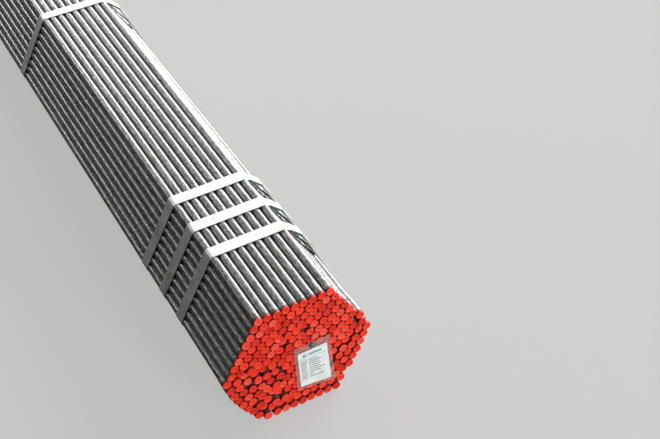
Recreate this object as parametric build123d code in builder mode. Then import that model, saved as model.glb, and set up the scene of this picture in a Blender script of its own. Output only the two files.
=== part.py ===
"""Hexagonal bundle of 217 capped steel pipes, held by crimped steel straps.

The pipes run along Y, with the tagged end at -Y and +Z up. The origin is on the floor, under
the middle of the bundle, which lies on the undersides of its straps.
"""
from build123d import *
from math import cos, radians, sin, sqrt
import os

# Pipes: half-inch size, close packed
pipe_od = 21.3
pipe_wall = 2.8
pipe_length = 6000
pipe_gap = 0.2  # between neighbours
pipes_per_side = 9
pipe_sides = 12  # one edge towards each neighbour and one towards each gap between them
bore_sides = 6  # the caps seal the bores
core_gap = 0.2  # from the outer ring to the plain core inside it

# Uneven ends: most pipes lie nearly level, and a few stand out or lie deeper at the front
slide_levels = 5
slide_step = 0.6
long_slides = {(-5, 0): 8, (-6, 0): 6, (0, -6): 8, (-3, -3): 7, (1, -5): 6, (-1, 4): -6, (-3, 3): -5}

# Caps: plastic plugs that cover a pipe's end
cap_od = 21.0
cap_depth = 8
cap_sides = 6  # few, because there are so many caps, with a corner towards each neighbour

# Straps: steel band, folded twice over each corner pipe
strap_width = 32.4
strap_thickness = 0.9
strap_gap = 0.1  # from the pipes
fold_turn = 15  # degrees each side of the corner, where the two folds are
end_straps = (210, 308, 416)  # from each pipe end to the strap's near edge
next_strap = 1352
middle_straps = 4

# Seals: crimped sleeves on the upper right side, where a strap's ends lap
seal_length = 42
seal_thickness = 1.0
seal_gap = 0.1
seal_lip = 10
seal_stand_off = 15  # of the strap from the pipes at its highest point
seal_reach = 48  # from the ridge down to that point
notch_length = 9
notch_depth = 5
notch_spacing = 20
lap_margin = 3  # of the outer layer beyond the seal, towards the ridge
tail_length = 52
tail_angle = 5  # degrees between the strap and its tail

# Tag: a card in a clear pouch, pinned to one cap
tag_spot = (1, 1)
tag_tilt = 1.5
tag_clearance = 0.2
pouch_width = 90
pouch_height = 138
film_thickness = 0.4
pocket_depth = 0.5
pocket_margin = 6
pin_below_edge = 8
card_width = 73
card_height = 108
card_thickness = 0.3
card_below_pin = 13
pin_sides = 12
pin_head_diameter = 11.5
pin_head_depth = 3
pin_diameter = 5
pin_gap = 0.1

pitch = pipe_od + pipe_gap
last_ring = pipes_per_side - 1
corner_reach = last_ring * pitch
flat_reach = corner_reach * sqrt(3) / 2
strap_radius = pipe_od / 2 + strap_gap
axis_height = flat_reach + strap_radius + strap_thickness
front = -pipe_length / 2
rear = pipe_length / 2
tag_slide = (slide_levels - 1) * slide_step
core_front = front - min(0, *long_slides.values())
core_rear = rear - max(tag_slide, *long_slides.values())

os.makedirs("parts", exist_ok=True)


def across(y):
    """A plane across the bundle, centred on its axis; extruding from it goes towards the front."""
    return Plane(origin=(0, y, axis_height), x_dir=(1, 0, 0), z_dir=(0, -1, 0))


def toward(degrees):
    """The unit vector of a direction across the bundle, anticlockwise from +X."""
    return Vector(cos(radians(degrees)), sin(radians(degrees)))


def place(q, r):
    """Where a pipe lies, from its steps along the row and up the slanted column."""
    return Vector((q + r / 2) * pitch, r * pitch * sqrt(3) / 2)


def slide(q, r):
    """How far a pipe stands out at the front, which is how far it falls short at the rear."""
    level = (3 * q * q + 5 * r * r + q * r + 2 * q) % slide_levels
    return long_slides.get((q, r), level * slide_step)


def pipes_by_slide(first_ring, final_ring):
    """The places of the pipes in these rings about the middle one, grouped by their slide."""
    groups = {}
    for q in range(-final_ring, final_ring + 1):
        for r in range(-final_ring, final_ring + 1):
            ring = max(abs(q), abs(r), abs(q + r))
            if first_ring <= ring <= final_ring:
                groups.setdefault(slide(q, r), []).append(place(q, r))
    return groups.items()


def export(part, name):
    part.label = name
    export_step(part, f"parts/{name}.step")


# Outer ring of pipes
with BuildPart() as outer_pipes:
    for amount, spots in pipes_by_slide(last_ring, last_ring):
        with BuildSketch(across(rear - amount)):
            with Locations(*spots):
                RegularPolygon(pipe_od / 2, pipe_sides)
                RegularPolygon(pipe_od / 2 - pipe_wall, bore_sides, mode=Mode.SUBTRACT)
    extrude(amount=pipe_length)
export(outer_pipes.part, "outer_pipes")


# Core: the pipes inside the ring, as one plain hexagonal block
with BuildPart() as pipe_core:
    with BuildSketch(across(core_rear)):
        RegularPolygon(flat_reach - pipe_od / 2 - core_gap, 6, major_radius=False)
    extrude(amount=core_rear - core_front)
export(pipe_core.part, "pipe_core")


def caps_at(spots, outer_face, seat):
    """The caps at the given places, from their outer faces to what they sit on."""
    with BuildSketch(across(outer_face)) as faces:
        with Locations(*spots):
            RegularPolygon(cap_od / 2, cap_sides)
    return extrude(faces.sketch, amount=outer_face - seat, mode=Mode.PRIVATE)


def make_caps(name, pipe_end, stand_out, core_end):
    """The caps at one end: those of the ring sit on their pipes, the inner ones on the core."""
    groups = []
    for amount, spots in pipes_by_slide(last_ring, last_ring):
        pipe_face = pipe_end - amount
        groups.append(caps_at(spots, pipe_face + stand_out, pipe_face))
    for amount, spots in pipes_by_slide(0, last_ring - 1):
        groups.append(caps_at(spots, pipe_end - amount + stand_out, core_end))
    with BuildPart() as caps:
        add(groups)
    export(caps.part, name)


make_caps("front_caps", front, -cap_depth, core_front)
make_caps("rear_caps", rear, cap_depth, core_rear)


def strap_corners():
    """The corners of a strap's inner line, anticlockwise from the right, with the seal's point."""
    fold_radius = strap_radius / cos(radians(fold_turn))
    corners = []
    for angle in range(0, 360, 60):
        corner = toward(angle) * corner_reach
        corners.append(corner + toward(angle - fold_turn) * fold_radius)
        corners.append(corner + toward(angle + fold_turn) * fold_radius)
    ridge = toward(60) * corner_reach
    seal_point = ridge + toward(30) * (strap_radius + seal_stand_off) + toward(-60) * seal_reach
    corners.insert(2, seal_point)
    return corners


line = strap_corners()
right_fold, seal_point, ridge_fold = line[1:4]
seal_way = (seal_point - ridge_fold).normalized()
seal_out = Vector(-seal_way.Y, seal_way.X)
strap_way = (right_fold - seal_point).normalized()
tail_way = strap_way.rotate(Axis.Z, tail_angle)
seal_middle = seal_point - seal_way * (seal_length / 2)
lap_start = seal_middle - seal_way * (seal_length / 2 + lap_margin)


def seal_plane(y):
    """A plane across the strap at the middle of its seal, with the layers' joint at height 0."""
    spot = seal_middle + seal_out * strap_thickness
    return Plane(
        origin=(spot.X, y + strap_width / 2, spot.Y + axis_height),
        x_dir=(0, 1, 0),
        z_dir=(seal_way.X, 0, seal_way.Y),
    )


def cut_notches(y):
    """Cuts the two pairs of crimp notches into the edges of a strap or its seal."""
    edge = strap_width / 2 + seal_gap + seal_thickness
    bottom = strap_width / 2 - notch_depth
    middle = seal_plane(y)
    along = Plane(origin=middle.origin, x_dir=middle.z_dir, z_dir=middle.y_dir)
    with BuildSketch(along) as notches:
        for spot in (-notch_spacing / 2, notch_spacing / 2):
            for side in (-1, 1):
                start = (spot - notch_length / 2, side * edge)
                end = (spot + notch_length / 2, side * edge)
                Polygon(start, (spot, side * bottom), end, align=None)
    extrude(notches.sketch, amount=4 * strap_thickness, both=True, mode=Mode.SUBTRACT)


def make_strap(name, y):
    """A closed band with its lapped outer layer and tail, with its near edge at y."""
    with BuildPart() as strap:
        with BuildSketch(across(y + strap_width)):
            Polygon(*line, align=None)
            offset(amount=strap_thickness, kind=Kind.INTERSECTION)
            Polygon(*line, align=None, mode=Mode.SUBTRACT)
            with BuildLine():
                lift = seal_out * strap_thickness
                tail_start = seal_point + lift
                Polyline(lap_start + lift, tail_start, tail_start + tail_way * tail_length)
                offset(amount=strap_thickness, side=Side.LEFT)
            make_face()
        extrude(amount=strap_width)
        cut_notches(y)
    export(strap.part, name)


def make_seal(name, y):
    """The crimped sleeve round a strap's two layers, open between its lips underneath."""
    inner_width = strap_width + 2 * seal_gap
    inner_height = 2 * (strap_thickness + seal_gap)
    with BuildPart() as seal:
        with BuildSketch(seal_plane(y)):
            Rectangle(inner_width + 2 * seal_thickness, inner_height + 2 * seal_thickness)
            Rectangle(inner_width, inner_height, mode=Mode.SUBTRACT)
            with Locations((0, -inner_height / 2)):
                Rectangle(inner_width - 2 * seal_lip, 3 * seal_thickness, mode=Mode.SUBTRACT)
        extrude(amount=seal_length / 2, both=True)
        cut_notches(y)
    export(seal.part, name)


from_front = [front + distance for distance in (*end_straps, next_strap)]
from_rear = [-y - strap_width for y in reversed(from_front)]
middle_step = (from_rear[0] - from_front[-1]) / (middle_straps - 1)
between = [from_front[-1] + middle_step * count for count in range(1, middle_straps - 1)]
for number, near_edge in enumerate([*from_front, *between, *from_rear], start=1):
    make_strap(f"strap_{number}", near_edge)
    make_seal(f"seal_{number}", near_edge)


# Tag: everything is drawn from the pin, in the plane of the pouch's back
pin = place(*tag_spot)
pouch_back = front - cap_depth - tag_slide - tag_clearance
pouch_thickness = 2 * film_thickness + pocket_depth
tag_x = (cos(radians(tag_tilt)), 0, sin(radians(tag_tilt)))


def tag_plane(height):
    """The tag's own plane at a height over the pouch's back, with its origin at the pin."""
    origin = (pin.X, pouch_back - height, pin.Y + axis_height)
    return Plane(origin=origin, x_dir=tag_x, z_dir=(0, -1, 0))


hole_radius = pin_diameter / 2 + pin_gap
pouch_middle = pin_below_edge - pouch_height / 2
pocket_height = pouch_height - pocket_margin
with BuildPart() as tag_pouch:
    with BuildSketch(tag_plane(0)):
        with Locations((0, pouch_middle)):
            Rectangle(pouch_width, pouch_height)
    extrude(amount=pouch_thickness)
    with BuildSketch(tag_plane(film_thickness)):
        with Locations((0, pouch_middle + pocket_margin / 2)):
            Rectangle(pouch_width - 2 * pocket_margin, pocket_height)
    extrude(amount=pocket_depth, mode=Mode.SUBTRACT)
    with BuildSketch(tag_plane(0)):
        RegularPolygon(hole_radius, pin_sides)
    extrude(amount=pouch_thickness, mode=Mode.SUBTRACT)
export(tag_pouch.part, "tag_pouch")

with BuildPart() as tag_card:
    with BuildSketch(tag_plane(film_thickness + (pocket_depth - card_thickness) / 2)):
        with Locations((0, -card_below_pin - card_height / 2)):
            Rectangle(card_width, card_height)
    extrude(amount=card_thickness)
export(tag_card.part, "tag_card")

# Pin: its stem goes through the pouch to the cap
pin_reach = pouch_back - (front - slide(*tag_spot) - cap_depth)
with BuildPart() as tag_pin:
    with BuildSketch(tag_plane(pin_reach)):
        RegularPolygon(pin_diameter / 2, pin_sides)
    extrude(amount=pouch_thickness + pin_gap - pin_reach)
    with BuildSketch(tag_plane(pouch_thickness + pin_gap)):
        RegularPolygon(pin_head_diameter / 2, pin_sides)
    extrude(amount=pin_head_depth)
export(tag_pin.part, "tag_pin")
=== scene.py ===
"""Looks of a hexagonal bundle of capped steel pipes, held by crimped steel straps and tagged."""

import random
from math import atan2, cos, degrees, pi, radians, sin, sqrt, tan

import bpy
import numpy as np
from mathutils import Matrix, Vector


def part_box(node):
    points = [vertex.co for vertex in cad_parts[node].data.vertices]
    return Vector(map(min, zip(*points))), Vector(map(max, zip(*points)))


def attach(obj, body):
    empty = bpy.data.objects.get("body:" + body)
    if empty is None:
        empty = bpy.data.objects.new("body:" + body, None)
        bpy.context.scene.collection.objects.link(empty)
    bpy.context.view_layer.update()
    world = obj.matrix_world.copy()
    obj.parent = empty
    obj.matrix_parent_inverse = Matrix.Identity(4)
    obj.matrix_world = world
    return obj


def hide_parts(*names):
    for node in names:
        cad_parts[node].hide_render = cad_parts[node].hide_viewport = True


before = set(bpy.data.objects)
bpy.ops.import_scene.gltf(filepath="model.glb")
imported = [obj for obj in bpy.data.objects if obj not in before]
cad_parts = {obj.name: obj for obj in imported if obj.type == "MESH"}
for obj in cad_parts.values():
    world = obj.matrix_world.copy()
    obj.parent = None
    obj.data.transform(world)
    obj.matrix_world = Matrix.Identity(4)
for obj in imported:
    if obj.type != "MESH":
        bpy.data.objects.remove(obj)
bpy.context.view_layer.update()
dice = random.Random(11)

# Pipes, in metres
pipe_radius = 0.01065
bore_radius = 0.00785
pipe_length = 6.0
pitch = 0.0215
last_ring = 8
slide_step = 0.0006
slide_levels = 5
# How far some pipes stand out at the front, by their steps along the row and up the slant
long_slides = {
    (-6, 1): 0.008,
    (-6, 0): -0.006,
    (-5, -1): -0.003,
    (-4, 0): -0.003,
    (-3, -2): 0.005,
    (-3, -3): 0.005,
    (-2, -5): 0.007,
    (-1, -3): 0.005,
    (-1, -6): -0.002,
    (0, -5): -0.004,
    (0, -6): 0.008,
    (1, -6): 0.008,
    (1, -7): -0.001,
    (-1, 4): -0.008,
    (-3, 3): -0.005,
    (6, -1): -0.004,
    (6, -4): 0.005,
    (8, -6): -0.005,
}
pipes_low, pipes_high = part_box("outer_pipes")
axis_height = (pipes_low.z + pipes_high.z) / 2
front = -pipe_length / 2
rear = pipe_length / 2
corner_reach = last_ring * pitch
outer_segments = 32
inner_segments = 20
station_margin = 0.004

# Caps
cap_radius = 0.0102
cap_depth = 0.008
cap_rounding = 0.0012
dish_depth = 0.0004
dish_margin = 0.0022
dish_slope = 0.0006
gate_radius = 0.0014
gate_depth = 0.003
gate_taper = 0.85
plug_radius = 0.0076
plug_reach = 0.010
centre_radius = 0.0001
cap_segments = 28
gate_share = 0.36
small_tilt = 2.2
large_tilt = 6
small_tilt_share = 0.85

# Straps
strap_width = 0.0324
strap_thickness = 0.0009
strap_gap = 0.0001
strap_radius = pipe_radius + strap_gap
fold_turn = 15
fold_rounding = 0.003
seal_stand_off = 0.015
seal_reach = 0.048
seal_length = 0.042
lap_margin = 0.003
tail_length = 0.052
tail_angle = 5
notch_length = 0.009
notch_depth = 0.005
notch_spots = (-0.010, 0.010)
under_start = 0.004
under_length = 0.108
under_angle = 3
sleeve_thickness = 0.0011
sleeve_corner = 0.0006
flap_width = 0.0045
flap_turn = 75
seal_steps = 42
strap_count = 10

# How a strap's path is divided, and how far from the seal's line its notches count
degrees_a_step = 6
longest_step = 0.012
shortest_stretch = 0.004
end_margin = 0.0005
station_reach = 0.003
notch_reach = 0.004

# Tag, drawn from its pin, in the plane of the pouch's back
tag_spot = (1, 1)
tag_tilt = 1.5
film_gap = 0.0002
pouch_width = 0.090
pouch_height = 0.138
pouch_corner = 0.004
pin_below_edge = 0.008
film_thickness = 0.0003
weld_width = 0.005
weld_slope = 0.004
pocket_depth = 0.0011
card_width = 0.073
card_height = 0.108
card_below_pin = 0.013
card_thickness = 0.0003
card_gap = 0.0001
card_corner = 0.002
corner_lift = 0.012
lift_power = 1.5
pouch_columns = 30
pouch_rows = 46
card_columns = 24
card_rows = 36
pin_radius = 0.0065
pin_foot_share = 0.9
pin_depth = 0.0042
pin_stem_radius = 0.0024
pin_sink = 0.0005
pin_seat = 0.0018
pin_rim = 0.0012
pin_segments = 32


def toward(angle):
    """The unit vector across the bundle at an angle in degrees, anticlockwise from +X."""
    return Vector((cos(radians(angle)), sin(radians(angle))))


def turned(way, angle):
    """A direction across the bundle, turned anticlockwise by an angle in degrees."""
    return Matrix.Rotation(radians(angle), 2) @ way


def new_piece(name, shape, materials, sharp_angle=40, face_materials=None):
    """A mesh that rides on the bundle, with its edges sharp past an angle in degrees."""
    points, faces = shape
    mesh = bpy.data.meshes.new(name)
    mesh.from_pydata(points, [], faces)
    mesh.validate()
    for material in materials:
        mesh.materials.append(material)
    if face_materials is not None:
        mesh.polygons.foreach_set("material_index", face_materials)
    mesh.shade_smooth()
    mesh.set_sharp_from_angle(angle=radians(sharp_angle))
    piece = bpy.data.objects.new(name, mesh)
    bpy.context.scene.collection.objects.link(piece)
    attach(piece, "root")
    return piece


def ring_faces(rings, segments, closed=False):
    """Quads between rings of points that follow each other."""
    faces = []
    for ring in range(rings if closed else rings - 1):
        start = ring * segments
        following = (ring + 1) % rings * segments
        for segment in range(segments):
            beside = (segment + 1) % segments
            faces.append((start + segment, start + beside, following + beside, following + segment))
    return faces


def end_faces(rings, segments):
    """The two faces that close the first and the last ring."""
    last = (rings - 1) * segments
    return [tuple(reversed(range(segments))), tuple(range(last, last + segments))]


def joined(shapes):
    """Several shapes as one. A shape is a pair: its points and its faces."""
    points = []
    faces = []
    for some_points, some_faces in shapes:
        shift = len(points)
        points += some_points
        faces += [tuple(index + shift for index in face) for face in some_faces]
    return points, faces


def copies(shape, matrices):
    """One shape, repeated by each matrix."""
    points, faces = shape
    solid = np.array(points)
    repeated = []
    for matrix in matrices:
        turn = np.array(matrix.to_3x3())
        moved = solid @ turn.T + np.array(matrix.translation)
        repeated.append((moved.tolist(), faces))
    return repeated


# Where the pipes lie

def slide(q, r):
    """How far a pipe stands out at the front, which is how far it falls short at the rear."""
    level = (3 * q * q + 5 * r * r + q * r + 2 * q) % slide_levels
    return long_slides.get((q, r), level * slide_step)


def places():
    """The steps of every pipe along the row and up the slanted column."""
    spots = []
    for q in range(-last_ring, last_ring + 1):
        for r in range(-last_ring, last_ring + 1):
            if abs(q + r) <= last_ring:
                spots.append((q, r))
    return spots


def spot_of(q, r):
    """Where a pipe lies across the bundle, from the bundle's axis."""
    return Vector(((q + r / 2) * pitch, r * pitch * sqrt(3) / 2))


def ring_of(q, r):
    """The number of the ring that a pipe lies in, from 0 in the middle."""
    return max(abs(q), abs(r), abs(q + r))


# Beyond the first straps the pipes spread a little: most at the lower left of the front.
# Here is how far front ends have moved to the right and up, in tenths of the pitch.
spread_reach = 0.20
moves = {
    (-7, 0): (1, -2),
    (-7, -1): (-2, -3),
    (-6, -1): (-2, -3),
    (-5, -1): (-3, -1),
    (-4, -1): (-2, -3),
    (-3, -1): (-2, -2),
    (-2, -1): (-2, -2),
    (-6, -2): (-4, -4),
    (-5, -2): (-3, -4),
    (-4, -2): (-4, -4),
    (-3, -2): (-3, -4),
    (-2, -2): (-4, -3),
    (-1, -2): (-2, -2),
    (-5, -3): (-5, -5),
    (-4, -3): (-4, -5),
    (-3, -3): (-4, -4),
    (-2, -3): (-4, -3),
    (-1, -3): (-3, -3),
    (-4, -4): (-5, -6),
    (-3, -4): (-5, -6),
    (-2, -4): (-4, -4),
    (-1, -4): (-2, -3),
    (-3, -5): (-5, -5),
    (-2, -5): (-3, -5),
    (-1, -5): (-3, -4),
    (-2, -6): (-5, -4),
    (-1, -6): (-3, -3),
    (-1, -7): (-4, -4),
    (0, -8): (-2, 0),
    (3, 5): (0, 1.5),
    (4, 4): (0.5, 0.5),
    (6, 2): (2.5, 2.5),
    (7, 1): (-0.5, 1),
    (8, -6): (1, 0),
}
# The columns along the lower right side have moved out too, by up to a share of the pitch.
loose_columns = {8: 0.36, 7: 0.28, 6: 0.18}
loose_way = 315
small_shift = 0.0003
bottom_slide = 0.006
least_distance = 2 * pipe_radius + 0.0001
floor_distance = pipe_radius + 0.001
push_rounds = 80


def front_shift(q, r):
    """How far a pipe's front end has moved across the bundle."""
    if (q, r) in moves:
        right, up = moves[(q, r)]
        return Vector((right, up)) * pitch / 10
    along = -r / last_ring
    if q in loose_columns and 0 < along < 1:
        return toward(loose_way) * loose_columns[q] * pitch * sqrt(sin(pi * along))
    return Vector((dice.uniform(-1, 1), dice.uniform(-1, 1))) * small_shift


def pushed_apart(spots):
    """The same places, with any that are too close moved apart and none under the floor."""
    spots = np.array(spots)
    lowest = floor_distance - axis_height
    for _ in range(push_rounds):
        gaps = spots[:, None] - spots[None]
        distances = np.linalg.norm(gaps, axis=2) + np.eye(len(spots))
        lacking = np.clip(least_distance - distances, 0, None)
        spots = spots + (gaps * (lacking * 0.5 / distances)[:, :, None]).sum(axis=1)
        spots[:, 1] = np.maximum(spots[:, 1], lowest)
    return [Vector(spot) for spot in spots]


def ease(amount):
    """A smooth step from 0 to 1."""
    amount = max(0, min(1, amount))
    return amount * amount * (3 - 2 * amount)


front_ends = pushed_apart([spot_of(q, r) + front_shift(q, r) for q, r in places()])
pipes = []
for (q, r), front_end in zip(places(), front_ends):
    spot = spot_of(q, r)
    amount = slide(q, r)
    if r == -last_ring:
        amount = max(amount, bottom_slide)
    pipes.append({"ring": ring_of(q, r), "spot": spot, "shift": front_end - spot, "slide": amount})


def pipe_point(pipe, y):
    """Where a pipe's centre line passes at y."""
    spread = ease((front + spread_reach - y) / spread_reach)
    across = pipe["spot"] + pipe["shift"] * spread
    return Vector((across.x, y, across.y + axis_height))


# Materials

def new_material(name, base, roughness, metallic=0.0):
    """A material of one colour and gloss, and its shader."""
    material = bpy.data.materials.new(name)
    material.use_nodes = True
    shader = material.node_tree.nodes["Principled BSDF"]
    shader.inputs["Base Color"].default_value = (*base, 1)
    shader.inputs["Roughness"].default_value = roughness
    shader.inputs["Metallic"].default_value = metallic
    return material, shader


class Nodes:
    """Short calls for the nodes of one material or world."""

    def __init__(self, owner):
        self.tree = owner.node_tree

    def add(self, kind, inputs=None, **settings):
        """A new node. Each input is a value or another node's output."""
        node = self.tree.nodes.new(kind)
        for name, value in settings.items():
            setattr(node, name, value)
        for name, value in (inputs or {}).items():
            self.fill(node.inputs[name], value)
        return node

    def link(self, output, socket):
        self.tree.links.new(output, socket)

    def fill(self, socket, value):
        """Links a socket to an output or gives it a value. A colour comes without its alpha."""
        if isinstance(value, bpy.types.NodeSocket):
            self.link(value, socket)
        elif socket.type == "RGBA":
            socket.default_value = (*value, 1)
        else:
            socket.default_value = value

    def place(self, scale=(1, 1, 1)):
        """Places on the object, stretched by a scale for each axis."""
        source = self.add("ShaderNodeTexCoord").outputs["Object"]
        return self.add("ShaderNodeMapping", {"Vector": source, "Scale": scale}).outputs["Vector"]

    def noise(self, vector, scale, detail=3.0, roughness=0.5, distortion=0.0):
        inputs = {
            "Vector": vector,
            "Scale": scale,
            "Detail": detail,
            "Roughness": roughness,
            "Distortion": distortion,
        }
        return self.add("ShaderNodeTexNoise", inputs).outputs["Fac"]

    def ramp(self, factor, stops):
        """A colour ramp through (position, colour or grey) stops."""
        node = self.add("ShaderNodeValToRGB", {"Fac": factor})
        while len(node.color_ramp.elements) < len(stops):
            node.color_ramp.elements.new(0.5)
        for element, (position, colour) in zip(node.color_ramp.elements, stops):
            if not isinstance(colour, tuple):
                colour = (colour, colour, colour)
            element.position = position
            element.color = (*colour, 1)
        return node.outputs["Color"]

    def mix(self, factor, first, second, blend="MIX"):
        """A mix of two colours. The node's colour sockets come after those for numbers."""
        node = self.add("ShaderNodeMix", data_type="RGBA", blend_type=blend)
        for number, value in {0: factor, 6: first, 7: second}.items():
            self.fill(node.inputs[number], value)
        return node.outputs[2]

    def math(self, operation, first, second=0.0, third=0.0):
        node = self.add("ShaderNodeMath", operation=operation)
        for socket, value in zip(node.inputs, (first, second, third)):
            self.fill(socket, value)
        return node.outputs[0]

    def bump(self, height, distance, strength=1.0, normal=None):
        node = self.add("ShaderNodeBump", {"Height": height, "Distance": distance, "Strength": strength})
        if normal is not None:
            self.link(normal, node.inputs["Normal"])
        return node.outputs["Normal"]


def varnished_steel():
    """Dark steel under thin varnish: streaks along the pipe and a fine speckle."""
    material, shader = new_material("pipe_steel", (0.1, 0.1, 0.1), 0.4, 0.35)
    shader.inputs["Coat Roughness"].default_value = 0.04
    shader.inputs["Specular IOR Level"].default_value = 0.2
    nodes = Nodes(material)
    streaks = nodes.noise(nodes.place((1, 0.02, 1)), 300, 3)
    speckle = nodes.noise(nodes.place((1, 0.2, 1)), 380, 4, 0.65)
    patches = nodes.noise(nodes.place((1, 0.2, 1)), 22, 3)
    island = nodes.add("ShaderNodeNewGeometry").outputs["Random Per Island"]
    tone = nodes.ramp(
        speckle,
        [
            (0.38, (0.06, 0.06, 0.059)),
            (0.52, (0.215, 0.215, 0.21)),
            (0.64, (0.46, 0.46, 0.45)),
        ],
    )
    tone = nodes.mix(0.45, tone, nodes.ramp(streaks, [(0.35, 0.4), (0.65, 1.0)]), "MULTIPLY")
    tone = nodes.mix(0.35, tone, nodes.ramp(patches, [(0.35, 0.55), (0.65, 1.0)]), "MULTIPLY")
    tone = nodes.mix(0.4, tone, nodes.ramp(island, [(0.0, 0.5), (1.0, 1.0)]), "MULTIPLY")
    nodes.link(tone, shader.inputs["Base Color"])
    nodes.link(nodes.ramp(speckle, [(0.40, 0.6), (0.56, 1.0)]), shader.inputs["Coat Weight"])
    rough = nodes.math("MULTIPLY_ADD", speckle, 0.30, 0.30)
    nodes.link(rough, shader.inputs["Roughness"])
    normal = nodes.bump(speckle, 0.00008, 0.25)
    nodes.link(normal, shader.inputs["Normal"])
    return material


def cap_plastic():
    """Orange-red moulded plastic: each cap its own tone, with faint scuffs and dust."""
    material, shader = new_material("cap_plastic", (0.80, 0.06, 0.03), 0.4)
    shader.inputs["Specular IOR Level"].default_value = 0.25
    nodes = Nodes(material)
    island = nodes.add("ShaderNodeNewGeometry").outputs["Random Per Island"]
    tone = nodes.ramp(
        island,
        [
            (0.0, (0.54, 0.016, 0.008)),
            (0.35, (0.70, 0.030, 0.013)),
            (0.7, (0.78, 0.041, 0.020)),
            (1.0, (0.80, 0.080, 0.052)),
        ],
    )
    scuffs = nodes.noise(nodes.place(), 130, 4, 0.6)
    dusty = nodes.ramp(scuffs, [(0.5, 0.0), (0.8, 0.12)])
    tone = nodes.mix(dusty, tone, (0.80, 0.24, 0.18))
    nodes.link(tone, shader.inputs["Base Color"])
    rough = nodes.math("MULTIPLY_ADD", scuffs, 0.3, 0.27)
    nodes.link(rough, shader.inputs["Roughness"])
    grain = nodes.noise(nodes.place(), 900, 2)
    nodes.link(nodes.bump(grain, 0.00006, 0.5), shader.inputs["Normal"])
    return material


def cap_side_painted_shade():
    """Painted shade on the sides of the caps: a dull dark red where they nearly touch and shade falls
    between them.
    """
    material, shader = new_material("cap_side_painted_shade", (0.30, 0.010, 0.006), 0.6)
    nodes = Nodes(material)
    # Mottling of the painted shade on the cap sides.
    side_shade_noise = nodes.noise(nodes.place(), 240, 3)
    tone = nodes.ramp(side_shade_noise, [(0.35, (0.16, 0.006, 0.004)), (0.65, (0.36, 0.012, 0.007))])
    nodes.link(tone, shader.inputs["Base Color"])
    return material


def cap_gate_painted_shade():
    """Painted shade in the small hole that moulding leaves: a near-black red where shade falls inside
    it.
    """
    material, shader = new_material("cap_gate_painted_shade", (0.05, 0.008, 0.006), 0.7)
    nodes = Nodes(material)
    # Mottling of the painted shade in the hole.
    gate_shade_noise = nodes.noise(nodes.place(), 700, 2)
    tone = nodes.ramp(gate_shade_noise, [(0.3, (0.02, 0.005, 0.004)), (0.7, (0.10, 0.014, 0.010))])
    nodes.link(tone, shader.inputs["Base Color"])
    return material


def strap_painted_shade():
    """Painted shade on the straps: a dull dark tone for their inner faces, cut edges and inner ends, and
    for the seals' sides and ends, where shade falls.
    """
    material, shader = new_material("strap_painted_shade", (0.09, 0.11, 0.10), 0.65, 0.2)
    shader.inputs["Specular IOR Level"].default_value = 0.15
    nodes = Nodes(material)
    # Mottling of the painted shade on the strap.
    mottle = nodes.noise(nodes.place(), 90, 4, 0.6)
    tone = nodes.ramp(mottle, [(0.35, (0.05, 0.065, 0.06)), (0.65, (0.14, 0.17, 0.155))])
    nodes.link(tone, shader.inputs["Base Color"])
    return material


def galvanised(name, base, dull):
    """Zinc-coated strip: soft mottling, stains and fine rolling lines."""
    material, shader = new_material(name, base, 0.45, 0.25)
    nodes = Nodes(material)
    mottle = nodes.noise(nodes.place(), 34, 4, 0.6, 0.6)
    fine = nodes.noise(nodes.place((1, 3, 1)), 260, 3, 0.6)
    stains = nodes.noise(nodes.place(), 17, 3, 0.5, 1.0)
    tone = nodes.mix(nodes.ramp(mottle, [(0.35, 0.0), (0.65, 1.0)]), dull, base)
    tone = nodes.mix(0.25, tone, nodes.ramp(fine, [(0.35, 0.55), (0.65, 1.0)]), "MULTIPLY")
    tone = nodes.mix(nodes.ramp(stains, [(0.58, 0.0), (0.72, 0.5)]), tone, (0.30, 0.29, 0.22))
    nodes.link(tone, shader.inputs["Base Color"])
    rough = nodes.math("MULTIPLY_ADD", mottle, 0.25, 0.33)
    nodes.link(rough, shader.inputs["Roughness"])
    normal = nodes.bump(mottle, 0.0006, 0.35)
    normal = nodes.bump(fine, 0.00005, 0.5, normal)
    nodes.link(normal, shader.inputs["Normal"])
    return material


pipe_steel = varnished_steel()
red_plastic = cap_plastic()
side_shade = cap_side_painted_shade()
gate_shade = cap_gate_painted_shade()
strap_steel = galvanised("strap_steel", (0.74, 0.735, 0.74), (0.62, 0.63, 0.62))
# Painted shade for the strap's inner face, edges, inner end and the seals' sides.
strap_shade = strap_painted_shade()
seal_steel = galvanised("seal_steel", (0.74, 0.75, 0.74), (0.56, 0.59, 0.57))


# Pipes

def make_pipes(name, node, chosen, segments, stations):
    """Hollow tubes along their own centre lines, open at both ends."""
    angles = [2 * pi * step / segments for step in range(segments)]
    circle = [(cos(angle), sin(angle)) for angle in angles]
    tubes = []
    for pipe in chosen:
        start = front - pipe["slide"]
        end = rear - pipe["slide"]
        line = [start, *[y for y in stations if start + station_margin < y < end], end]
        rings = [(y, pipe_radius) for y in line] + [(end, bore_radius), (start, bore_radius)]
        points = []
        for y, radius in rings:
            centre = pipe_point(pipe, y)
            points += [(centre.x + x * radius, y, centre.z + z * radius) for x, z in circle]
        tubes.append((points, ring_faces(len(rings), segments, closed=True)))
    piece = new_piece(name, joined(tubes), [pipe_steel])
    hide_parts(node)


spread_steps = 8
near_front = [front + spread_reach * step / spread_steps for step in range(1, spread_steps + 1)]
quarters = [pipe_length * share for share in (-0.25, 0, 0.25)]
outer = [pipe for pipe in pipes if pipe["ring"] == last_ring]
inner = [pipe for pipe in pipes if pipe["ring"] < last_ring]
make_pipes("pipes_outer", "outer_pipes", outer, outer_segments, near_front + quarters)
make_pipes("pipes_inner", "pipe_core", inner, inner_segments, near_front[1::2] + [0])


# Caps

# The caps' plastic, the painted shade of their sides and the painted shade in the gate's hole.
cap_materials = [red_plastic, side_shade, gate_shade]
face_material, side_shade_material, gate_shade_material = range(3)


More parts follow.
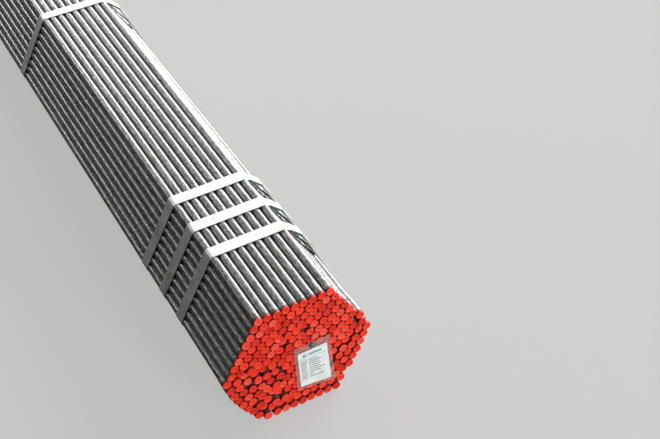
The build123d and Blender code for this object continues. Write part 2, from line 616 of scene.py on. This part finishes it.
def cap_shape(gate):
    """A cap with its back at the origin and its face towards -Y, and its faces' materials."""
    profile = [(centre_radius, plug_reach), (plug_radius, plug_reach), (plug_radius, 0), (cap_radius, 0)]
    profile.append((cap_radius, -(cap_depth - cap_rounding)))
    side_faces = (len(profile) - 1) * cap_segments
    steps = 3
    for step in range(1, steps + 1):
        angle = pi / 2 * step / steps
        radius = cap_radius - cap_rounding * (1 - cos(angle))
        profile.append((radius, -(cap_depth - cap_rounding * (1 - sin(angle)))))
    rim = cap_radius - dish_margin
    dish = -(cap_depth - dish_depth)
    profile.append((rim, -cap_depth))
    profile.append((rim - dish_slope, dish))
    gate_ring = len(profile)
    if gate:
        gate_bottom = -(cap_depth - gate_depth)
        profile.append((gate_radius, dish))
        profile.append((gate_radius * gate_taper, gate_bottom))
        profile.append((centre_radius, gate_bottom))
    else:
        profile.append((centre_radius, dish))
    points = []
    for radius, y in profile:
        for step in range(cap_segments):
            angle = 2 * pi * step / cap_segments
            points.append((radius * cos(angle), y, radius * sin(angle)))
    faces = ring_faces(len(profile), cap_segments) + end_faces(len(profile), cap_segments)
    # The side walls and the hidden plug carry the painted shade of the cap sides.
    materials = [side_shade_material] * side_faces + [face_material] * (len(faces) - side_faces)
    # The gate's hole carries painted shade.
    if gate:
        first = gate_ring * cap_segments
        materials[first:] = [gate_shade_material] * (len(faces) - first)
    return (points, faces), materials


def make_caps(name, node, at_front):
    """The caps at one end, each with its own small tilt."""
    sets = {False: [], True: []}
    for pipe in pipes:
        y = (front if at_front else rear) - pipe["slide"]
        place = Matrix.Translation(pipe_point(pipe, y))
        tilt = small_tilt if dice.random() < small_tilt_share else large_tilt
        turn = Matrix.Rotation(radians(dice.gauss(0, tilt)), 4, "X")
        turn = Matrix.Rotation(radians(dice.gauss(0, tilt)), 4, "Z") @ turn
        if not at_front:
            turn = turn @ Matrix.Rotation(pi, 4, "Z")
        sets[dice.random() < gate_share].append(place @ turn)
    shapes = []
    face_materials = []
    for gate, matrices in sets.items():
        shape, materials = cap_shape(gate)
        shapes += copies(shape, matrices)
        face_materials += materials * len(matrices)
    piece = new_piece(name, joined(shapes), cap_materials, 35, face_materials)
    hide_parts(node)


make_caps("caps_front", "front_caps", True)
make_caps("caps_rear", "rear_caps", False)


# Straps

def strap_line():
    """The inner line of a strap, anticlockwise from the right, with the seal's point."""
    fold_radius = strap_radius / cos(radians(fold_turn))
    corners = []
    for angle in range(0, 360, 60):
        corner = toward(angle) * corner_reach
        corners.append(corner + toward(angle - fold_turn) * fold_radius)
        corners.append(corner + toward(angle + fold_turn) * fold_radius)
    ridge = toward(60) * corner_reach
    corners.insert(2, ridge + toward(30) * (strap_radius + seal_stand_off) + toward(-60) * seal_reach)
    return corners


inner_line = strap_line()
right_fold, seal_point, ridge_fold = inner_line[1:4]
seal_way = (seal_point - ridge_fold).normalized()
seal_out = Vector((-seal_way.y, seal_way.x))
strap_way = (right_fold - seal_point).normalized()
seal_middle = seal_point - seal_way * (seal_length / 2)


def rounded(points, closed, rounding):
    """A path whose corners are rounded, with its outward direction at each point."""
    count = len(points)
    path = []
    for index, point in enumerate(points):
        if not closed and index in (0, count - 1):
            other = points[1] if index == 0 else points[-2]
            way = (other - point).normalized() * (1 if index == 0 else -1)
            path.append((point, Vector((way.y, -way.x))))
            continue
        before = (point - points[index - 1]).normalized()
        after = (points[(index + 1) % count] - point).normalized()
        turn = atan2(before.x * after.y - before.y * after.x, before.dot(after))
        trim = rounding * abs(tan(turn / 2))
        steps = max(2, int(abs(degrees(turn)) / degrees_a_step))
        for step in range(steps + 1):
            share = step / steps
            start = point - before * trim
            end = point + after * trim
            curve = start.lerp(point, share).lerp(point.lerp(end, share), share)
            way = before.lerp(after, share).normalized()
            path.append((curve, Vector((way.y, -way.x))))
    return path


def notch_share(along):
    """From 1 in the middle of a notch to 0 at its ends, by the distance from the seal's middle."""
    nearest = min(abs(along - spot) for spot in notch_spots)
    return max(0, 1 - nearest / (notch_length / 2))


def with_notch_stations(path, closed):
    """The path with points added where the notches start, end and turn, and on long stretches."""
    stations = []
    for spot in notch_spots:
        stations += [spot - notch_length / 2, spot, spot + notch_length / 2]
    result = []
    count = len(path)
    for index in range(count):
        result.append(path[index])
        if not closed and index == count - 1:
            break
        start, out = path[index]
        end = path[(index + 1) % count][0]
        length = (end - start).length
        if length < shortest_stretch:
            continue
        way = (end - start) / length
        between = []
        for station in stations:
            target = seal_middle + seal_way * station
            along = (target - start).dot(way)
            off = (target - start - way * along).length
            if end_margin < along < length - end_margin and off < station_reach:
                between.append(along)
        steps = int(length / longest_step)
        between += [length * step / steps for step in range(1, steps)]
        for along in sorted(between):
            result.append((start + way * along, out))
    return result


def strip(path, near_edge, closed, bright_side=1):
    """A flat strip along a path across the bundle, and its faces' materials.

    One side has the strap's steel and the others carry painted shade: 0 is the near edge and 1 is the
    outer face.
    """
    middle = near_edge + strap_width / 2
    section = ((0, -1), (strap_thickness, -1), (strap_thickness, 1), (0, 1))
    points = []
    for point, out in path:
        along = (point - seal_middle).dot(seal_way)
        off = (point - seal_middle - seal_way * along).length
        half = strap_width / 2
        if off < notch_reach:
            half -= notch_depth * notch_share(along)
        for height, side in section:
            spot = point + out * height
            points.append((spot.x, middle + side * half, spot.y + axis_height))
    sides = len(section)
    faces = ring_faces(len(path), sides, closed)
    if not closed:
        faces += end_faces(len(path), sides)
    # Every side but the chosen one gets the painted shade.
    materials = [0 if index % sides == bright_side else 1 for index in range(len(faces))]
    return (points, faces), materials


def make_strap(number):
    """A closed band with its lapped outer layer, its tail and its straight inner end."""
    node = f"strap_{number}"
    near_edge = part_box(node)[0].y
    band = with_notch_stations(rounded(inner_line, True, fold_rounding), True)
    lap_start = seal_middle - seal_way * (seal_length / 2 + lap_margin)
    tail = seal_point + turned(strap_way, tail_angle) * tail_length
    lifted = [spot + seal_out * strap_thickness for spot in (lap_start, seal_point, tail)]
    lap = with_notch_stations(rounded(lifted, False, fold_rounding), False)
    lap = [(point, -out if out.dot(seal_out) < 0 else out) for point, out in lap]
    ridge = toward(60) * corner_reach
    start = ridge + toward(30) * (strap_radius + strap_gap) + toward(-60) * under_start
    end = start + toward(-60 + under_angle) * under_length
    out = toward(30 + under_angle)
    strips = [
        strip(band, near_edge, True),
        strip(lap, near_edge, False),
        # The inner end shows steel only on its near edge; its faces carry painted shade.
        strip([(start, out), (end, out)], near_edge, False, bright_side=0),
    ]
    shape = joined([shape for shape, _ in strips])
    face_materials = [material for _, materials in strips for material in materials]
    # The strap's steel and its painted shade.
    steels = [strap_steel, strap_shade]
    piece = new_piece(f"band_{number}", shape, steels, 30, face_materials)
    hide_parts(node)


def sleeve_section(bend):
    """The seal's outline across the strap, with both sides bent down by a share from 0 to 1."""
    low = -sleeve_thickness
    high = 2 * strap_thickness + sleeve_thickness
    half = strap_width / 2 + sleeve_thickness
    hinge = half - flap_width
    halfway = hinge / 2
    corner = sleeve_corner
    side = [
        (halfway, high),
        (hinge, high),
        (half - flap_width / 2, high),
        (half - corner, high),
        (half, high - corner),
        (half, low + corner),
        (half - corner, low),
        (half - flap_width / 2, low),
        (hinge, low),
        (halfway, low),
    ]
    turn = radians(flap_turn * bend)
    middle = (low + high) / 2
    bent = []
    for across, height in side:
        over = across - hinge
        if over > 0:
            rise = height - middle
            across = hinge + over * cos(turn) + rise * sin(turn)
            height = middle - over * sin(turn) + rise * cos(turn)
        bent.append((across, height))
    return bent + [(-across, height) for across, height in reversed(bent)]


def make_seal(number):
    """A sleeve round both layers, its edges crimped down at two pairs of notches."""
    node = f"seal_{number}"
    near_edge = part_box(f"strap_{number}")[0].y
    middle = near_edge + strap_width / 2
    segments = len(sleeve_section(0))
    points = []
    for step in range(seal_steps + 1):
        along = (step / seal_steps - 0.5) * seal_length
        bend = sin(pi / 2 * notch_share(along))
        centre = seal_middle + seal_way * along
        for across, height in sleeve_section(bend):
            spot = centre + seal_out * height
            points.append((spot.x, middle + across, spot.y + axis_height))
    sides = ring_faces(seal_steps + 1, segments)
    faces = sides + end_faces(seal_steps + 1, segments)
    # The top of the sleeve is steel; its sides, bottom and ends carry painted shade.
    top = {segments - 2, segments - 1, 0, 1, 2}
    materials = [0 if index % segments in top else 1 for index in range(len(sides))] + [1, 1]
    steels = [seal_steel, strap_shade]
    piece = new_piece(f"sleeve_{number}", (points, faces), steels, 35, materials)
    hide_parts(node)


for number in range(1, strap_count + 1):
    make_strap(number)
    make_seal(number)


# Tag

pin_place = spot_of(*tag_spot)
tag_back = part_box("tag_pouch")[1].y
tag_turn = Matrix.Rotation(radians(tag_tilt), 2)


def on_tag(u, v, height):
    """A point of the tag: u to the right of the pin, v above it, and a height over the caps."""
    right = max(0, min(1, u / pouch_width + 0.5))
    low = max(0, min(1, -v / (pouch_height - pin_below_edge)))
    bend = corner_lift * right ** lift_power * low ** lift_power
    flat = tag_turn @ Vector((u, v))
    y = tag_back - height - bend
    return (pin_place.x + flat.x, y, axis_height + pin_place.y + flat.y)


def sheet(low, high, centre_v, width, height, corner, columns, rows):
    """A closed thin sheet on the tag between two height functions, with rounded corners.

    The places that come with it run from 0 to 1 across and up the sheet.
    """

    def sheet_point(column, row):
        u = (column / columns - 0.5) * width
        v = (row / rows - 0.5) * height
        over_u = abs(u) - (width / 2 - corner)
        over_v = abs(v) - (height / 2 - corner)
        if over_u > 0 and over_v > 0:
            reach = max(over_u, over_v)
            size = sqrt(over_u ** 2 + over_v ** 2)
            u += (over_u * reach / size - over_u) * (1 if u > 0 else -1)
            v += (over_v * reach / size - over_v) * (1 if v > 0 else -1)
        return u, v + centre_v

    points = []
    spots = []
    for surface in (low, high):
        for row in range(rows + 1):
            for column in range(columns + 1):
                u, v = sheet_point(column, row)
                points.append(on_tag(u, v, surface(u, v)))
                spots.append((u / width + 0.5, (v - centre_v) / height + 0.5))
    wide = columns + 1
    layer = wide * (rows + 1)
    faces = []
    for row in range(rows):
        for column in range(columns):
            corner_index = row * wide + column
            quad = (corner_index, corner_index + 1, corner_index + 1 + wide, corner_index + wide)
            faces.append(tuple(reversed(quad)))
            faces.append(tuple(index + layer for index in quad))
    border = list(range(columns))
    border += [columns + wide * row for row in range(rows)]
    border += [columns - column + wide * rows for column in range(columns)]
    border += [wide * (rows - row) for row in range(rows)]
    for index, start in enumerate(border):
        end = border[(index + 1) % len(border)]
        faces.append((start, end, end + layer, start + layer))
    return (points, faces), spots


def film_plastic():
    """Clear film, hazy from handling, with soft creases."""
    material, shader = new_material("pouch_film", (0.50, 0.46, 0.44), 0.22)
    nodes = Nodes(material)
    creases = nodes.noise(nodes.place(), 38, 4, 0.6, 0.8)
    haze = nodes.ramp(creases, [(0.35, 0.06), (0.7, 0.13)])
    nodes.link(haze, shader.inputs["Alpha"])
    nodes.link(nodes.bump(creases, 0.0008, 0.3), shader.inputs["Normal"])
    return material


def printed_card():
    """White card with a plain coloured bar and rows of ruled lines, as on a blank form."""
    material, shader = new_material("card_stock", (0.86, 0.87, 0.87), 0.6)
    nodes = Nodes(material)
    place = nodes.add("ShaderNodeUVMap", uv_map="card").outputs["UV"]
    split = nodes.add("ShaderNodeSeparateXYZ", {"Vector": place})
    u, v = split.outputs["X"], split.outputs["Y"]

    def between(value, low, high):
        above = nodes.math("GREATER_THAN", value, low)
        below = nodes.math("LESS_THAN", value, high)
        return nodes.math("MULTIPLY", above, below)

    row_count = 16
    rows = nodes.math("MULTIPLY", v, row_count)
    row = nodes.math("FLOOR", rows)
    stroke = between(nodes.math("FRACT", rows), 0.30, 0.72)
    scatter = nodes.add("ShaderNodeTexWhiteNoise", {"W": row}, noise_dimensions="1D")
    label = between(u, 0.07, 0.27)
    end = nodes.math("MULTIPLY_ADD", scatter.outputs["Value"], 0.42, 0.46)
    entry = between(u, 0.33, end)
    marks = nodes.math("MULTIPLY", stroke, nodes.math("MAXIMUM", label, entry))
    marks = nodes.math("MULTIPLY", marks, between(v, 0.17, 0.76))
    rule = nodes.math("MULTIPLY", between(v, 0.785, 0.795), between(u, 0.05, 0.95))
    dark = nodes.math("MAXIMUM", marks, rule)
    bar = nodes.math("MULTIPLY", between(v, 0.85, 0.91), between(u, 0.34, 0.80))
    block = nodes.math("MULTIPLY", between(v, 0.835, 0.925), between(u, 0.16, 0.29))
    grain = nodes.noise(nodes.place(), 300, 3)
    paper = nodes.ramp(grain, [(0.3, (0.79, 0.84, 0.84)), (0.7, (0.86, 0.92, 0.92))])
    tone = nodes.mix(nodes.math("MULTIPLY", dark, 0.85), paper, (0.10, 0.13, 0.13))
    coloured = nodes.math("MULTIPLY", nodes.math("MAXIMUM", bar, block), 0.85)
    tone = nodes.mix(coloured, tone, (0.06, 0.33, 0.27))
    nodes.link(tone, shader.inputs["Base Color"])
    nodes.link(nodes.bump(grain, 0.00008, 0.4), shader.inputs["Normal"])
    return material


def pin_plastic():
    """Teal moulded plastic with fine moulding marks."""
    material, shader = new_material("pin_plastic", (0.015, 0.20, 0.16), 0.3)
    nodes = Nodes(material)
    marks = nodes.noise(nodes.place(), 600, 3)
    tone = nodes.ramp(marks, [(0.3, (0.006, 0.09, 0.075)), (0.7, (0.014, 0.19, 0.155))])
    nodes.link(tone, shader.inputs["Base Color"])
    nodes.link(nodes.bump(marks, 0.0001, 0.4), shader.inputs["Normal"])
    return material


def make_tag():
    """The pouch of two welded films, the card in it and the pin that holds it to a cap."""
    pouch_v = pin_below_edge - pouch_height / 2

    def inside(u, v):
        """From 0 on the welded border to 1 in the pocket, which is open at the top."""
        side = ease((pouch_width / 2 - weld_width - abs(u)) / weld_slope)
        bottom = ease((v - (pouch_v - pouch_height / 2 + weld_width)) / weld_slope)
        return side * bottom

    def back_film(u, v):
        return film_gap

    def ripple(u, v):
        """Two sets of small waves across the front film."""
        return 0.0002 * sin(95 * u + 40 * v) + 0.00015 * sin(160 * v - 50 * u)

    def front_film(u, v):
        return film_gap + film_thickness + inside(u, v) * (pocket_depth + ripple(u, v))

    def raised(surface, amount):
        return lambda u, v: surface(u, v) + amount

    pouch_size = (pouch_width, pouch_height, pouch_corner, pouch_columns, pouch_rows)
    sheets = []
    for low in (back_film, front_film):
        shape, _ = sheet(low, raised(low, film_thickness), pouch_v, *pouch_size)
        sheets.append(shape)
    film = new_piece("pouch", joined(sheets), [film_plastic()], 50)
    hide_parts("tag_pouch")

    card_v = -card_below_pin - card_height / 2
    card_size = (card_width, card_height, card_corner, card_columns, card_rows)
    low = raised(back_film, film_thickness + card_gap)
    shape, spots = sheet(low, raised(low, card_thickness), card_v, *card_size)
    card = new_piece("card", shape, [printed_card()], 50)
    layer = card.data.uv_layers.new(name="card")
    for loop in card.data.loops:
        layer.data[loop.index].uv = spots[loop.vertex_index]
    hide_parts("tag_card")

    profile = [(centre_radius, pin_sink), (pin_stem_radius, pin_sink), (pin_stem_radius, -pin_seat)]
    profile += [(pin_radius * pin_foot_share, -pin_seat), (pin_radius, -pin_seat - pin_rim / 2)]
    shoulder = pin_seat + pin_rim
    dome_height = pin_depth - pin_rim
    steps = 6
    for step in range(steps):
        angle = pi / 2 * step / steps
        profile.append((pin_radius * cos(angle), -shoulder - dome_height * sin(angle)))
    profile.append((centre_radius, -shoulder - dome_height))
    points = []
    for radius, height in profile:
        for step in range(pin_segments):
            angle = 2 * pi * step / pin_segments
            x, y, z = on_tag(radius * cos(angle), radius * sin(angle), 0)
            points.append((x, tag_back + height, z))
    faces = ring_faces(len(profile), pin_segments) + end_faces(len(profile), pin_segments)
    pin = new_piece("pin", (points, faces), [pin_plastic()])
    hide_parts("tag_pin")


make_tag()


# Floor, light and camera

floor_glow = 0.47
backdrop_glow = 0.42
world_light = 0.1
end_spread = pi / 2


def make_floor():
    """A dull floor with a glow that only the camera sees, which keeps it pale all over."""
    mesh = bpy.data.meshes.new("floor")
    reach = 40
    corners = [(-reach, -reach, 0), (reach, -reach, 0), (reach, reach, 0), (-reach, reach, 0)]
    mesh.from_pydata(corners, [], [(0, 1, 2, 3)])
    material, shader = new_material("floor", (0.12, 0.12, 0.119), 0.9)
    shader.inputs["Specular IOR Level"].default_value = 0
    shader.inputs["Emission Color"].default_value = (1, 1, 0.99, 1)
    nodes = Nodes(material)
    seen = nodes.add("ShaderNodeLightPath").outputs["Is Camera Ray"]
    glow = nodes.math("MULTIPLY", seen, floor_glow)
    nodes.link(glow, shader.inputs["Emission Strength"])
    mesh.materials.append(material)
    floor = bpy.data.objects.new("floor", mesh)
    bpy.context.scene.collection.objects.link(floor)


def softbox(name, place, target, size, radiance):
    """A rectangular lamp that faces a point and shows the given radiance."""
    light = bpy.data.lights.new(name, "AREA")
    light.shape = "RECTANGLE"
    light.size, light.size_y = size
    light.energy = radiance * pi * size[0] * size[1]
    lamp = bpy.data.objects.new(name, light)
    lamp.location = place
    lamp.rotation_mode = "QUATERNION"
    lamp.rotation_quaternion = (Vector(target) - Vector(place)).to_track_quat("-Z", "Y")
    bpy.context.scene.collection.objects.link(lamp)
    return lamp


def make_world():
    """Dim light from all round, which the camera sees as a pale backdrop."""
    world = bpy.data.worlds.new("world")
    world.use_nodes = True
    background = world.node_tree.nodes["Background"]
    background.inputs["Color"].default_value = (1, 1, 1, 1)
    nodes = Nodes(world)
    seen = nodes.add("ShaderNodeLightPath").outputs["Is Camera Ray"]
    strength = nodes.math("MULTIPLY_ADD", seen, backdrop_glow, world_light)
    nodes.link(strength, background.inputs["Strength"])
    bpy.context.scene.world = world


def make_lamps():
    """A broad key from the right, soft roofs over the bundle and a panel before each end.

    The side panel and the strip show only in reflections, and the rear panel in none.
    """
    softbox("key", (11.0, 1.0, 6.0), (0, 0.2, 0.2), (10.0, 7.0), 12.5)
    side_panel = softbox("side_panel", (3.2, 1.8, 1.3), (0, 1.0, 0.5), (7.0, 2.6), 11.0)
    side_panel.visible_diffuse = False
    softbox("near_roof", (1.3, -0.9, 2.7), (1.0, -1.2, 0), (2.0, 3.0), 1.5)
    softbox("far_roof", (1.2, 2.9, 2.7), (1.0, 1.5, 0), (2.4, 4.2), 1.8)
    softbox("left_roof", (-0.85, -0.4, 2.7), (-0.7, -1.0, 0), (1.4, 3.6), 0.5)
    left_strip = softbox("left_strip", (-1.55, 0.9, 2.3), (0, -1.0, 0.2), (5.0, 0.26), 14.0)
    left_strip.visible_diffuse = False
    front_panel = softbox("front_panel", (1.7, -9.0, 1.5), (0, -3.0, 0.18), (2.6, 1.8), 7.5)
    front_panel.data.spread = end_spread
    rear_panel = softbox("rear_panel", (1.7, 9.0, 1.5), (0, 3.0, 0.18), (2.6, 1.8), 4.0)
    rear_panel.data.spread = end_spread
    rear_panel.visible_glossy = False


def make_camera():
    """The camera of the photograph, found from the hexagon and the straps."""
    azimuth = radians(-27.018)
    elevation = radians(41.547)
    roll = radians(-2.689)
    across_shift = 3.1838 * pitch
    up_shift = 13.8151 * pitch
    distance = 122.3126 * pitch
    back = Vector((sin(azimuth) * cos(elevation), -cos(azimuth) * cos(elevation), sin(elevation)))
    level = Vector((0, 0, 1)).cross(back).normalized()
    upright = back.cross(level)
    right = level * cos(roll) + upright * sin(roll)
    up = upright * cos(roll) - level * sin(roll)
    data = bpy.data.cameras.new("camera")
    data.sensor_fit = "HORIZONTAL"
    data.sensor_width = 36
    data.lens = 65.57
    camera = bpy.data.objects.new("camera", data)
    end_face = Vector((0, front - cap_depth - 2 * slide_step, axis_height))
    place = end_face + right * across_shift + up * up_shift + back * distance
    turn = Matrix((right, up, back)).transposed()
    camera.matrix_world = Matrix.Translation(place) @ turn.to_4x4()
    data.clip_start = 0.05
    bpy.context.scene.collection.objects.link(camera)
    bpy.context.scene.camera = camera


make_floor()
make_world()
make_lamps()
make_camera()
bpy.context.scene.view_settings.view_transform = "Standard"
